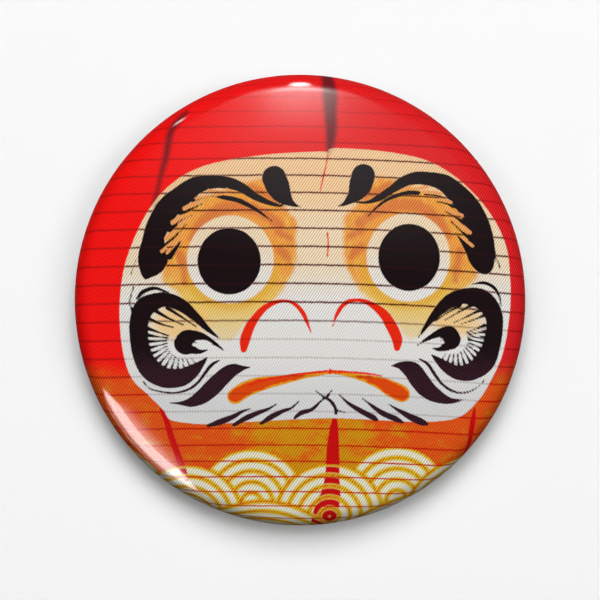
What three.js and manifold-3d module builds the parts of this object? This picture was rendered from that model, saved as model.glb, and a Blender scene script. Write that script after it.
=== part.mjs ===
// Round pin-back badge: a domed tinplate shell under printed paper and clear film, with a sprung safety pin behind.
// Millimetres. The front faces -Y, +Z is up, and the origin is the middle of the rim's rear plane, where cloth lies.
import * as THREE from 'three';
import { mergeVertices } from 'three/addons/utils/BufferGeometryUtils.js';
import Module from 'manifold-3d';

// Badge body
const badgeDiameter = 58;
const crownAngle = 10.5; // slope of the dome where it meets the edge, in degrees
const frontEdgeRadius = 2.6;
const rearEdgeRadius = 1.2;
const landWidth = 1.2; // flat ring at the very rear of the rim
const tuckRadius = 1.0; // the roll from that ring in towards the back plate
const tuckDepth = 1.6; // how far the roll's end lies in front of the rear plane

// Layers, from the outside in
const filmThickness = 0.12;
const paperThickness = 0.12;
const shellThickness = 0.3;
const layerGap = 0.03;

// Back plate
const plateThickness = 0.3;
const floorDepth = 1.3; // the plate's rear face in front of the rear plane
const flangeGap = 0.15; // between the roll's end and the plate's flange
const beadHeight = 0.35;
const beadWidth = 1.6;
const plateEdgeGap = 0.3; // between the flange and the shell's inside
const stepWidth = 0.4;

// Safety pin
const wireDiameter = 0.8;
const pinLength = 40.3; // over the coil and the catch
const coilRadius = 1.9; // to the middle of the wire
const coilTurns = 1.5;
const turnGap = 0.1;
const legHeight = 6; // the fixed leg above the middle of the badge
const openAngle = 35; // how far the needle swings, in degrees
const wireGap = 0.1; // between the wire and the sheet it passes
const pointLength = 3;
const endGap = 0.3;

// Catch and loops
const catchLength = 8.5;
const catchWall = 0.3;
const catchMargin = 0.9; // sheet beyond the wire at the top and the bottom of the catch
const catchCorner = 1.6;
const catchTaper = 0.5; // how much each side closes in towards the coil
const loopWidth = 3.5;
const loopReach = 1.9; // half the height of a loop
const loopFromCatch = 1.9; // between the catch and the nearer loop
const loopFromCoil = 5.8; // between the coil and the other loop

const ringSegments = 60;
const wireSides = 10;

const radius = badgeDiameter / 2;
const crown = THREE.MathUtils.degToRad(crownAngle);
const wireRadius = wireDiameter / 2;
const plateRear = -floorDepth;
const legY = plateRear + wireGap + catchWall + wireGap + wireRadius;
const turnPitch = wireDiameter + turnGap;
const needleY = legY + coilTurns * turnPitch;
const coilX = pinLength / 2 - coilRadius - wireRadius;
const coilZ = legHeight - coilRadius;
const needleZ = legHeight - 2 * coilRadius;
const catchEndX = -pinLength / 2;
const loopNearCatchX = catchEndX + catchLength + loopFromCatch + loopWidth / 2;
const loopNearCoilX = coilX - coilRadius - wireRadius - loopFromCoil - loopWidth / 2;

const wasm = await Module();
wasm.setup();

// ---------- shapes ----------

function closedMesh(geometry) {
  const plain = geometry.clone();
  plain.deleteAttribute('normal');
  plain.deleteAttribute('uv');
  return mergeVertices(plain, 1e-4);
}

function toSolid(geometry) {
  const merged = closedMesh(geometry);
  const mesh = new wasm.Mesh({
    numProp: 3,
    vertProperties: new Float32Array(merged.attributes.position.array),
    triVerts: new Uint32Array(merged.index.array),
  });
  return new wasm.Manifold(mesh);
}

function fromSolid(solid) {
  const mesh = solid.getMesh();
  const geometry = new THREE.BufferGeometry();
  const positions = new Float32Array((mesh.vertProperties.length / mesh.numProp) * 3);
  for (let i = 0; i < positions.length / 3; i++) {
    for (let k = 0; k < 3; k++) positions[3 * i + k] = mesh.vertProperties[i * mesh.numProp + k];
  }
  geometry.setAttribute('position', new THREE.BufferAttribute(positions, 3));
  geometry.setIndex(new THREE.BufferAttribute(new Uint32Array(mesh.triVerts), 1));
  const flat = geometry.toNonIndexed();
  flat.computeVertexNormals();
  return flat;
}

// points along an arc in the (radius, Y) plane, angles from the +radius direction
function arcPoints(centreR, centreY, arcRadius, from, to, steps) {
  const points = [];
  for (let i = 0; i <= steps; i++) {
    const angle = from + ((to - from) * i) / steps;
    points.push(new THREE.Vector2(centreR + arcRadius * Math.cos(angle), centreY + arcRadius * Math.sin(angle)));
  }
  return points;
}

// the badge's outline a given depth below its outside, from the crown round the edge to the tucked end
function skinPoints(depth) {
  const front = frontEdgeRadius - depth;
  const edgeY = -rearEdgeRadius;
  const startR = radius - frontEdgeRadius + frontEdgeRadius * Math.sin(crown);
  const startY = edgeY - frontEdgeRadius * Math.cos(crown);
  const domeRadius = startR / Math.sin(crown);
  const domeCentreY = startY + domeRadius * Math.cos(crown);
  const landR = radius - rearEdgeRadius - landWidth;
  const quarter = Math.PI / 2;
  const dome = arcPoints(0, domeCentreY, domeRadius - depth, -quarter, -quarter + crown, 6);
  dome[0].x = 0;
  const edge = arcPoints(radius - frontEdgeRadius, edgeY, front, -quarter + crown, 0, 5);
  const rear = arcPoints(radius - rearEdgeRadius, edgeY, rearEdgeRadius - depth, 0, quarter, 3);
  const tuck = arcPoints(landR, -tuckRadius, tuckRadius - depth, quarter, 2 * quarter, 3);
  const end = new THREE.Vector2(landR - tuckRadius + depth, -tuckDepth);
  return [...dome, ...edge.slice(1), ...rear.slice(1), ...tuck, end];
}

function layerGeometry(depth, thickness) {
  const outside = skinPoints(depth);
  const inside = skinPoints(depth + thickness).reverse();
  return new THREE.LatheGeometry([...outside, ...inside], ringSegments);
}

class WirePath extends THREE.Curve {
  constructor(placeAt) {
    super();
    this.placeAt = placeAt;
  }

  getPoint(t, target = new THREE.Vector3()) {
    return target.copy(this.placeAt(t));
  }
}

function wireGeometry(placeAt, steps) {
  const section = new THREE.Shape();
  section.absarc(0, 0, wireRadius, 0, 2 * Math.PI, false);
  const options = { steps, extrudePath: new WirePath(placeAt), curveSegments: wireSides / 2 };
  return new THREE.ExtrudeGeometry(section, options);
}

// the coil's middle line: turn angle 0 is where the leg reaches its top, growing clockwise seen from the front
function coilPoint(turn) {
  const x = coilX + coilRadius * Math.sin(turn);
  const z = coilZ + coilRadius * Math.cos(turn);
  return new THREE.Vector3(x, legY + (turnPitch * turn) / (2 * Math.PI), z);
}

// ---------- sub-parts ----------

function makeBackPlate() {
  const landR = radius - rearEdgeRadius - landWidth;
  const layers = filmThickness + paperThickness + shellThickness + 2 * layerGap;
  const flangeY = -tuckDepth - flangeGap;
  const flangeR = radius - layers - plateEdgeGap;
  const stepR = landR - tuckRadius - 0.9;
  const beadR = stepR - 0.4;
  const slope = 0.45;
  const t = plateThickness;
  const rear = [
    [0, plateRear],
    [beadR - beadWidth, plateRear],
    [beadR - beadWidth + slope, plateRear + beadHeight],
    [beadR - slope, plateRear + beadHeight],
    [beadR, plateRear],
    [stepR, plateRear],
    [stepR + stepWidth, flangeY],
    [flangeR, flangeY],
  ];
  const side = t * 0.8;
  const front = [
    [flangeR, flangeY - t],
    [stepR + stepWidth - side, flangeY - t],
    [stepR - side, plateRear - t],
    [beadR - 0.1, plateRear - t],
    [beadR - slope - 0.1, plateRear + beadHeight - t],
    [beadR - beadWidth + slope + 0.1, plateRear + beadHeight - t],
    [beadR - beadWidth + 0.1, plateRear - t],
    [0, plateRear - t],
  ];
  const profile = [...rear, ...front].reverse().map(([r, y]) => new THREE.Vector2(r, y));
  let plate = toSolid(new THREE.LatheGeometry(profile, ringSegments));
  for (const loopX of [loopNearCatchX, loopNearCoilX]) {
    const slot = new THREE.BoxGeometry(loopWidth, 4 * t, 2 * (loopReach - t));
    slot.translate(loopX, plateRear, legHeight);
    plate = plate.subtract(toSolid(slot)).add(toSolid(makeLoop(loopX)));
  }
  return fromSolid(plate);
}

// a strap pressed up out of the plate, over the pin's fixed leg
function makeLoop(x) {
  const inner = legY + wireRadius + wireGap;
  const foot = plateRear - plateThickness;
  const arch = (reach, top) => {
    const corner = 0.6;
    return [
      [-reach, foot],
      [-reach, top - corner],
      [-reach + corner * 0.3, top - corner * 0.3],
      [-reach + corner, top],
      [reach - corner, top],
      [reach - corner * 0.3, top - corner * 0.3],
      [reach, top - corner],
      [reach, foot],
    ];
  };
  const outline = [...arch(loopReach, inner + plateThickness), ...arch(loopReach - plateThickness, inner).reverse()];
  const shape = new THREE.Shape(outline.map(([z, y]) => new THREE.Vector2(z, y)));
  const strap = new THREE.ExtrudeGeometry(shape, { depth: loopWidth, bevelEnabled: false });
  strap.translate(0, 0, -loopWidth / 2);
  // the outline is drawn as (Z, Y) and pushed along X
  strap.rotateY(-Math.PI / 2);
  strap.translate(x, 0, legHeight);
  return strap;
}

function makePinSpring() {
  const legEndX = catchEndX + catchWall + endGap;
  const legLength = coilX - legEndX;
  const freeTurn = THREE.MathUtils.degToRad(330);
  const coilLength = coilRadius * freeTurn;
  const whole = legLength + coilLength;
  const placeAt = (t) => {
    const along = t * whole;
    if (along < legLength) return new THREE.Vector3(legEndX + along, legY, legHeight);
    return coilPoint((along - legLength) / coilRadius);
  };
  return wireGeometry(placeAt, 84);
}

function makePinNeedle() {
  const swing = THREE.MathUtils.degToRad(openAngle);
  const lastTurn = 2 * Math.PI * coilTurns;
  const firstTurn = THREE.MathUtils.degToRad(330) + swing + endGap / coilRadius;
  const bend = wireGeometry((t) => coilPoint(firstTurn + (lastTurn - firstTurn) * t), 18);
  const tipX = catchEndX + catchWall + 2 * endGap;
  const length = coilX - tipX;
  const profile = [
    [0, -wireRadius],
    [wireRadius, -wireRadius],
    [wireRadius, length - pointLength],
    [wireRadius * 0.7, length - pointLength * 0.6],
    [wireRadius * 0.3, length - pointLength * 0.15],
    [0.04, length],
    [0, length],
  ];
  const shaft = new THREE.LatheGeometry(profile.map(([r, y]) => new THREE.Vector2(r, y)), wireSides);
  shaft.rotateZ(Math.PI / 2);
  shaft.translate(coilX, needleY, needleZ);
  return fromSolid(toSolid(bend).add(toSolid(shaft)));
}

function catchOutline(inset, overrun) {
  const top = legHeight + wireRadius + catchMargin - inset;
  const bottom = needleZ - wireRadius - catchMargin + inset;
  const left = catchEndX + inset;
  const right = catchEndX + catchLength + overrun;
  const corner = catchCorner - inset;
  const shape = new THREE.Shape();
  shape.moveTo(right, top - catchTaper);
  shape.quadraticCurveTo((left + right) / 2, top, left + corner, top);
  shape.quadraticCurveTo(left, top, left, top - corner);
  shape.lineTo(left, bottom + corner);
  shape.quadraticCurveTo(left, bottom, left + corner, bottom);
  shape.quadraticCurveTo((left + right) / 2, bottom, right, bottom + catchTaper);
  return shape;
}

function catchSlab(shape, near, far) {
  const slab = new THREE.ExtrudeGeometry(shape, { depth: far - near, bevelEnabled: false, curveSegments: 6 });
  // drawn as (X, Z) and pushed along Y
  slab.rotateX(Math.PI / 2);
  slab.translate(0, far, 0);
  return slab;
}

// folded sheet, open towards the coil and below, so that the needle swings down and out
function makePinCatch() {
  const front = plateRear + wireGap;
  const rear = needleY + wireRadius + wireGap + catchWall;
  const inside = rear - front - 2 * catchWall;
  const hood = toSolid(catchSlab(catchOutline(0, 0), front, rear));
  const hollow = toSolid(catchSlab(catchOutline(catchWall, catchWall), front + catchWall, rear - catchWall));
  const bottom = needleZ - wireRadius - catchMargin;
  const mouth = new THREE.BoxGeometry(catchLength, inside, 2 * (catchCorner + catchWall));
  mouth.translate(catchEndX + catchWall + catchLength / 2, (front + rear) / 2, bottom);
  return fromSolid(hood.subtract(hollow).subtract(toSolid(mouth)));
}

// ---------- materials ----------

function finish(colour, roughness, metalness) {
  return new THREE.MeshStandardMaterial({ color: colour, roughness, metalness });
}

function addNode(group, name, geometry, material) {
  const mesh = new THREE.Mesh(geometry, material);
  mesh.name = name;
  group.add(mesh);
}

const badge = new THREE.Group();
badge.name = 'pin_back_badge';
const paperDepth = filmThickness + layerGap;
const shellDepth = paperDepth + paperThickness + layerGap;
addNode(badge, 'clear_film', layerGeometry(0, filmThickness), finish('#cf2530', 0.12, 0));
addNode(badge, 'printed_paper', layerGeometry(paperDepth, paperThickness), finish('#d8262c', 0.6, 0));
addNode(badge, 'front_shell', layerGeometry(shellDepth, shellThickness), finish('#b9bcc0', 0.35, 1));
addNode(badge, 'back_plate', makeBackPlate(), finish('#c3c6c9', 0.32, 1));
addNode(badge, 'pin_spring', makePinSpring(), finish('#d0d2d4', 0.22, 1));
addNode(badge, 'pin_needle', makePinNeedle(), finish('#d6d8da', 0.18, 1));
addNode(badge, 'pin_catch', makePinCatch(), finish('#caccd0', 0.25, 1));

export default badge;
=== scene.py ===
import math
import bmesh
import bpy
import numpy as np
from mathutils import Matrix, Vector


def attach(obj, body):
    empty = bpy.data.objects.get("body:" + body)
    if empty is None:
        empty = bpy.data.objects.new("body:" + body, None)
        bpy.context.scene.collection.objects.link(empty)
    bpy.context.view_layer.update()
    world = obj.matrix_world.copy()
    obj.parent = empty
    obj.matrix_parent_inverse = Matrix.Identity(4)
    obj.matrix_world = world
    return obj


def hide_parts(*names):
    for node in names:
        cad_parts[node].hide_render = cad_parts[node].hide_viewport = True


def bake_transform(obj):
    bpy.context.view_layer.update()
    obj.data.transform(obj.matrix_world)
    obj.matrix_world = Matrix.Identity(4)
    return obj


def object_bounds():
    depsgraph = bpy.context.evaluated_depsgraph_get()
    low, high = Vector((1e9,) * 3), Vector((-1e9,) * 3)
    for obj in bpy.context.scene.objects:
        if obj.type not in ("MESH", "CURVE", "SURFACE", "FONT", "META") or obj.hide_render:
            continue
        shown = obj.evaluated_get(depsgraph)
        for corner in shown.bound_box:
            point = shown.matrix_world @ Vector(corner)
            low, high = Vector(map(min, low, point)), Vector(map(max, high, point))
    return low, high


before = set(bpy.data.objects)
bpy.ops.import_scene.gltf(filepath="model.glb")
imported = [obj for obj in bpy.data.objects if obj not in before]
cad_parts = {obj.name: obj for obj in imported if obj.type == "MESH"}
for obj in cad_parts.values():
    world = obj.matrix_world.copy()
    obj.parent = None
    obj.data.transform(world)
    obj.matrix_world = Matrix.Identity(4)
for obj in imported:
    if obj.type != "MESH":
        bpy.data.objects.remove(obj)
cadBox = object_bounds()
scene = bpy.context.scene
scene.view_settings.view_transform = "Standard"
print("stage: frame loaded, box", [round(v, 4) for v in (*cadBox[0], *cadBox[1])])

mm = 0.001
tiny = 1e-9

# sizes of the badge in millimetres; the front faces -Y and the rim's rear ring lies at Y = 0
badge = {
    "radius": 29.0,
    "crownAngle": 10.5,
    "frontEdge": 2.6,
    "rearEdge": 1.2,
    "landWidth": 1.2,
    "tuck": 1.0,
    "tuckDepth": 1.6,
    "skin": 0.27,
    "turnSteps": (24, 25),
    "gatherFrom": -2.2,
    "gatherDepth": 1.4,
}


class Amount:
    # a number that varies over a surface; arithmetic on it adds Math nodes
    def __init__(self, look, socket):
        self.look = look
        self.socket = socket

    def math(self, operation, *others):
        values = {index + 1: other for index, other in enumerate(others)}
        return self.look.node("ShaderNodeMath", {"operation": operation}, {0: self, **values})

    def __add__(self, other):
        return self.math("ADD", other)

    def __sub__(self, other):
        return self.math("SUBTRACT", other)

    def __mul__(self, other):
        return self.math("MULTIPLY", other)

    def __truediv__(self, other):
        return self.math("DIVIDE", other)

    def __rsub__(self, other):
        return self.look.node("ShaderNodeMath", {"operation": "SUBTRACT"}, {0: other, 1: self})

    __radd__ = __add__
    __rmul__ = __mul__

    def max(self, other):
        return self.math("MAXIMUM", other)

    def min(self, other):
        return self.math("MINIMUM", other)

    # 0 below low, 1 above high, smooth between
    def rise(self, low, high):
        settings = {"interpolation_type": "SMOOTHSTEP", "clamp": True}
        values = {"Value": self, "From Min": low, "From Max": high, "To Min": 0.0, "To Max": 1.0}
        return self.look.node("ShaderNodeMapRange", settings, values)


class Look:
    def __init__(self, name, tree=None):
        if tree is None:
            self.material = bpy.data.materials.new(name)
            self.material.use_nodes = True
            tree = self.material.node_tree
        self.tree = tree
        self.tree.nodes.clear()

    def node(self, kind, settings=None, values=None, output=0):
        made = self.tree.nodes.new(kind)
        for key, value in (settings or {}).items():
            if key == "stops":
                ramp = made.color_ramp
                while len(ramp.elements) < len(value):
                    ramp.elements.new(0.5)
                for element, (place, colour) in zip(ramp.elements, value):
                    element.position = place
                    element.color = colour
            else:
                setattr(made, key, value)
        for key, value in (values or {}).items():
            if isinstance(value, Amount):
                self.tree.links.new(value.socket, made.inputs[key])
            else:
                made.inputs[key].default_value = value
        return Amount(self, made.outputs[output]) if made.outputs else None

    def attribute(self, name):
        return self.node("ShaderNodeAttribute", {"attribute_name": name}, output="Fac")

    def object(self):
        return self.node("ShaderNodeTexCoord", output="Object")

    def split(self, vector):
        outputs = self.node("ShaderNodeSeparateXYZ", None, {0: vector}).socket.node.outputs
        return [Amount(self, outputs[index]) for index in range(3)]

    def join(self, x, y, z):
        return self.node("ShaderNodeCombineXYZ", None, {0: x, 1: y, 2: z})

    def stretch(self, vector, scale, turn=(0.0, 0.0, 0.0)):
        values = {"Vector": vector, "Scale": scale, "Rotation": turn}
        return self.node("ShaderNodeMapping", {"vector_type": "POINT"}, values)

    def noise(self, vector, scale, detail, roughness):
        values = {"Vector": vector, "Scale": scale, "Detail": detail, "Roughness": roughness}
        return self.node("ShaderNodeTexNoise", None, values, "Fac")

    def mix(self, factor, first, second, how="MIX"):
        settings = {"data_type": "RGBA", "blend_type": how, "clamp_factor": True}
        return self.node("ShaderNodeMix", settings, {0: factor, 6: first, 7: second}, 2)

    def bump(self, height, distance, strength):
        values = {"Height": height, "Distance": distance, "Strength": strength}
        return self.node("ShaderNodeBump", None, values)

    def surface(self, values):
        shader = self.node("ShaderNodeBsdfPrincipled", None, values)
        self.node("ShaderNodeOutputMaterial", None, {"Surface": shader})
        return self.material


# a screen colour, 0 to 255, as the linear colour that shaders take
def paint(red, green, blue):
    def linear(value):
        value = value / 255
        return value / 12.92 if value <= 0.04045 else ((value + 0.055) / 1.055) ** 2.4

    return (linear(red), linear(green), linear(blue), 1.0)


def newPiece(name, bm, material, body):
    mesh = bpy.data.meshes.new(name)
    bm.to_mesh(mesh)
    bm.free()
    piece = bpy.data.objects.new(name, mesh)
    scene.collection.objects.link(piece)
    mesh.materials.append(material)
    mesh.shade_smooth()
    if body:
        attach(piece, body)
    return piece


# makes a piece's modifiers part of its mesh and keeps edges sharper than the angle crisp
def settle(piece, angle):
    shaped = piece.evaluated_get(bpy.context.evaluated_depsgraph_get())
    mesh = bpy.data.meshes.new_from_object(shaped)
    piece.modifiers.clear()
    piece.data = mesh
    mesh.shade_smooth()
    mesh.set_sharp_from_angle(angle=math.radians(angle))


# gives a folded or pressed sheet its thickness, inwards, and takes the sharpness off its cut edges
def thicken(piece, thickness, wear, angle):
    sheet = piece.modifiers.new("sheet", "SOLIDIFY")
    sheet.thickness = thickness * mm
    sheet.offset = -1.0
    sheet.use_even_offset = True
    edge = piece.modifiers.new("cut edge", "BEVEL")
    edge.width = wear * mm
    edge.segments = 2
    edge.limit_method = "ANGLE"
    edge.angle_limit = math.radians(50)
    settle(piece, angle)


# points on an arc in the (radius, Y) plane, angles in degrees from the outward direction
def arc(centreR, centreY, radius, start, end, steps):
    points = []
    for step in range(steps + 1):
        angle = math.radians(start + (end - start) * step / steps)
        points.append((centreR + radius * math.cos(angle), centreY + radius * math.sin(angle)))
    return points


# cuts the corners of an open outline with short curves
def soften(points, radius, steps=4):
    result = [points[0]]
    for before, corner, after in zip(points, points[1:], points[2:]):
        a, b, c = Vector(before), Vector(corner), Vector(after)
        reach = min(radius, 0.45 * (a - b).length, 0.45 * (c - b).length)
        first = b + (a - b).normalized() * reach
        last = b + (c - b).normalized() * reach
        for step in range(steps + 1):
            t = step / steps
            result.append(tuple((1 - t) ** 2 * first + 2 * t * (1 - t) * b + t * t * last))
    result.append(points[-1])
    return result


# turns an outline of (radius, Y) points round the Y axis, in millimetres: one sector, then its copies
def lathe(points, sectors, stepsPerSector):
    bm = bmesh.new()
    verts = [bm.verts.new((r, y, 0.0)) for r, y in points]
    edges = [bm.edges.new(pair) for pair in zip(verts, verts[1:])]
    sector = 2 * math.pi / sectors
    bmesh.ops.spin(bm, geom=verts + edges, cent=(0, 0, 0), axis=(0, 1, 0), angle=sector, steps=stepsPerSector)
    bmesh.ops.remove_doubles(bm, verts=bm.verts, dist=1e-4)
    bmesh.ops.spin(bm, geom=bm.verts[:] + bm.edges[:] + bm.faces[:], cent=(0, 0, 0), axis=(0, 1, 0),
                   angle=2 * math.pi - sector, steps=sectors - 1, use_duplicate=True)
    bmesh.ops.remove_doubles(bm, verts=bm.verts, dist=1e-4)
    bmesh.ops.recalc_face_normals(bm, faces=bm.faces)
    return bm


def toMetres(bm):
    bmesh.ops.scale(bm, vec=(mm, mm, mm), verts=bm.verts)


# brush strokes: points of (x, z, half width) in millimetres on the front, x to the right and z up
leftBrow = [
    (-19.8, 2.8, 0.18), (-19.4, 3.9, 1.07), (-18.8, 5.4, 1.95), (-18.8, 7.4, 1.45), (-18.3, 9.3, 1.42),
    (-17.0, 11.6, 1.5), (-15.4, 13.1, 1.38), (-13.4, 14.6, 1.15), (-11.3, 15.1, 0.88), (-9.3, 15.0, 0.78),
    (-7.5, 14.4, 0.62), (-6.0, 13.4, 0.5), (-4.4, 12.6, 0.36), (-2.9, 12.1, 0.2), (-2.0, 12.0, 0.1),
]
rightBrow = [
    (7.03, 12.5, 0.1), (8.63, 12.5, 0.2), (10.13, 13.1, 0.44), (11.73, 14.1, 0.53), (13.23, 15.1, 0.71),
    (14.83, 15.6, 0.82), (16.63, 15.5, 0.89), (18.43, 15.0, 1.1), (20.03, 13.7, 1.3), (21.53, 12.0, 1.45),
    (22.63, 10.0, 1.5), (23.23, 8.0, 1.55), (23.13, 6.3, 1.85), (23.53, 4.7, 1.33), (23.93, 3.6, 0.3),
]
browStrokes = [
    leftBrow,
    rightBrow,
    [(-10.7, 13.2, 0.09), (-9.6, 13.1, 0.29), (-7.8, 12.7, 0.31), (-6.0, 11.8, 0.24),
     (-4.7, 10.9, 0.16), (-3.6, 10.1, 0.05)],
    [(15.13, 13.7, 0.27), (13.73, 13.7, 0.29), (11.93, 13.2, 0.24), (10.63, 12.5, 0.18),
     (9.23, 11.3, 0.11), (8.73, 10.7, 0.04)],
    # drops beside the bridge of the nose
    [(-3.3, 15.6, 1.55), (-2.8, 14.4, 1.47), (-2.2, 13.4, 1.07), (-1.4, 12.6, 0.56), (-0.6, 12.1, 0.22),
     (0.1, 11.9, 0.07)],
    [(8.1, 15.9, 1.5), (7.7, 14.6, 1.42), (7.1, 13.5, 0.93), (6.2, 12.7, 0.49), (5.5, 12.2, 0.2),
     (4.9, 12.0, 0.07)],
    # hairs that leave the inner edge of each brow
    [(-16.7, 5.6, 0.45), (-15.8, 6.8, 0.27), (-15.2, 7.6, 0.07)],
    [(-17.6, 6.8, 0.22), (-16.2, 7.9, 0.16), (-14.5, 9.7, 0.05)],
    [(-16.7, 9.0, 0.36), (-15.3, 10.1, 0.18), (-13.8, 10.8, 0.05)],
    [(-15.3, 11.1, 0.3), (-14.0, 11.6, 0.18), (-12.5, 12.3, 0.05)],
    [(-13.8, 12.7, 0.22), (-12.0, 13.2, 0.11), (-10.9, 13.3, 0.05)],
    [(21.73, 6.4, 0.6), (20.73, 7.6, 0.25), (19.93, 8.6, 0.05)],
    [(21.73, 7.9, 0.25), (20.53, 8.9, 0.13), (19.33, 10.1, 0.05)],
    [(21.03, 9.8, 0.27), (19.93, 10.6, 0.13), (18.63, 11.3, 0.05)],
    [(19.73, 11.9, 0.22), (18.63, 12.4, 0.11), (17.53, 12.6, 0.05)],
    [(18.33, 13.1, 0.18), (17.23, 13.4, 0.1), (15.93, 13.5, 0.04)],
    # loose hairs outside the brows
    [(-21.1, 5.1, 0.1), (-21.6, 3.3, 0.04)],
    [(24.83, 6.7, 0.15), (25.23, 5.3, 0.09), (25.63, 4.1, 0.04)],
]
cheekStrokes = [
    # left comma, its inner curl, the thin line and the leaf below
    [(-10.3, -4.9, 0.07), (-11.8, -3.7, 0.35), (-13.4, -2.1, 0.58), (-15.3, -0.6, 0.84),
     (-17.5, 0.05, 0.93),
     (-19.8, -0.9, 1.28), (-20.6, -2.8, 1.22), (-20.6, -4.9, 1.18), (-20.2, -7.0, 1.22),
     (-19.2, -8.8, 1.38),
     (-17.5, -9.9, 1.29), (-15.5, -10.0, 1.16), (-14.0, -9.3, 0.93), (-12.8, -8.3, 0.49),
     (-11.9, -7.4, 0.11)],
    [(-14.6, -5.5, 1.5), (-14.3, -4.8, 1.0), (-12.9, -4.7, 0.67), (-11.5, -5.2, 0.36),
     (-10.4, -5.9, 0.18), (-9.8, -6.4, 0.07)],
    [(-14.2, -6.2, 0.67), (-12.9, -6.6, 0.31), (-11.9, -6.4, 0.09)],
    [(-10.3, -7.7, 0.1), (-11.3, -8.3, 0.22), (-12.1, -9.3, 0.2), (-13.1, -10.6, 0.18),
     (-14.4, -11.5, 0.16),
     (-16.2, -11.9, 0.13), (-18.0, -11.7, 0.11), (-19.3, -11.3, 0.09), (-20.1, -10.4, 0.07)],
    [(-6.4, -8.6, 0.07), (-7.3, -8.7, 0.31), (-8.7, -9.0, 0.84), (-10.0, -10.0, 1.02), (-11.3, -11.3, 1.07),
     (-12.6, -12.4, 0.93), (-14.0, -13.1, 0.58), (-15.3, -13.2, 0.22), (-16.6, -13.2, 0.07)],
    [(-21.3, 1.7, 0.1), (-21.8, -0.2, 0.14), (-21.5, -1.5, 0.1)],
    [(-20.9, 0.2, 0.16), (-20.0, 1.1, 0.27), (-18.5, 1.5, 0.22), (-16.7, 0.9, 0.08)],
    # dark gaps between the long upper rays
    [(-19.1, -2.5, 0.22), (-17.7, -3.1, 0.13), (-16.2, -3.5, 0.08)],
    [(-18.3, -1.5, 0.24), (-16.7, -2.4, 0.14), (-14.9, -3.2, 0.08)],
    [(-17.0, -1.0, 0.24), (-15.1, -2.2, 0.14), (-13.3, -3.4, 0.08)],
    [(-15.2, -1.3, 0.22), (-13.8, -2.4, 0.12), (-12.4, -3.5, 0.07)],
    # the same on the right
    [(15.13, -4.8, 0.07), (16.23, -3.2, 0.31), (17.63, -1.5, 0.62), (19.23, -0.1, 0.89), (21.23, 0.5, 1.02),
     (23.33, 0.05, 1.29), (24.73, -1.7, 1.15), (24.93, -3.8, 1.07), (24.53, -5.9, 1.15),
     (23.63, -7.9, 1.33),
     (21.93, -9.2, 1.11), (20.13, -9.3, 0.89), (18.63, -8.5, 0.67), (17.53, -7.6, 0.36),
     (16.83, -7.0, 0.09)],
    [(19.23, -5.0, 1.35), (19.03, -4.2, 0.9), (17.93, -4.2, 0.55), (16.63, -4.8, 0.3),
     (15.73, -5.3, 0.16), (15.03, -5.8, 0.05)],
    [(18.83, -6.0, 0.5), (17.83, -6.3, 0.27), (16.93, -6.2, 0.08)],
    [(15.23, -7.5, 0.1), (16.33, -8.2, 0.2), (17.23, -9.5, 0.2), (18.33, -10.9, 0.18), (19.93, -11.8, 0.16),
     (21.53, -11.8, 0.13), (22.83, -11.1, 0.1), (23.73, -10.2, 0.06)],
    [(11.73, -8.4, 0.07), (12.93, -8.4, 0.5), (14.33, -9.0, 1.1), (15.23, -10.2, 1.2), (16.33, -11.5, 1.1),
     (17.73, -12.4, 0.8), (19.23, -12.9, 0.4), (21.03, -12.8, 0.07)],
    [(23.8, -1.9, 0.22), (22.3, -2.5, 0.13), (20.6, -3.1, 0.08)],
    [(23.3, -1.2, 0.24), (21.6, -2.0, 0.14), (19.7, -2.9, 0.08)],
    [(22.1, -0.6, 0.24), (20.4, -1.5, 0.14), (18.5, -2.6, 0.08)],
    [(20.5, -0.7, 0.22), (18.9, -1.6, 0.12), (17.3, -2.7, 0.07)],
    [(22.03, 2.0, 0.08), (23.53, 2.2, 0.21), (24.83, 1.6, 0.21), (25.53, 0.5, 0.14), (25.83, -0.9, 0.07)],
]
beardStrokes = [
    [(-11.8, -16.1, 0.2), (-10.2, -15.6, 0.39), (-8.5, -14.9, 0.31), (-7.3, -14.2, 0.17),
     (-6.3, -13.9, 0.05)],
    [(-8.5, -16.0, 0.2), (-6.9, -15.1, 0.36), (-5.3, -14.4, 0.29), (-4.0, -13.9, 0.16),
     (-3.0, -13.3, 0.05)],
    [(-5.0, -15.8, 0.2), (-3.6, -14.9, 0.36), (-2.2, -14.2, 0.26), (-1.1, -13.8, 0.16),
     (-0.1, -12.9, 0.05)],
    [(-0.7, -15.1, 0.17), (0.2, -14.4, 0.31), (1.5, -14.0, 0.23), (2.7, -12.9, 0.13), (3.8, -12.1, 0.05)],
    [(2.0, -11.6, 0.05), (2.9, -12.3, 0.14), (3.9, -12.9, 0.21), (4.5, -13.8, 0.22), (4.6, -14.5, 0.2)],
    [(4.6, -14.1, 0.17), (5.8, -14.4, 0.09)],
    [(4.1, -11.5, 0.05), (3.4, -12.3, 0.13)],
    [(5.0, -12.1, 0.05), (6.2, -13.2, 0.21), (7.8, -14.2, 0.33), (9.3, -15.0, 0.36), (9.9, -15.4, 0.16)],
    [(8.0, -12.6, 0.05), (9.3, -13.6, 0.21), (10.6, -14.5, 0.35), (12.2, -15.2, 0.36), (13.2, -15.7, 0.16)],
    [(11.3, -13.3, 0.05), (12.6, -14.1, 0.23), (14.2, -15.0, 0.42), (15.5, -15.6, 0.44),
     (16.3, -15.9, 0.2)],
]
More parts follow.
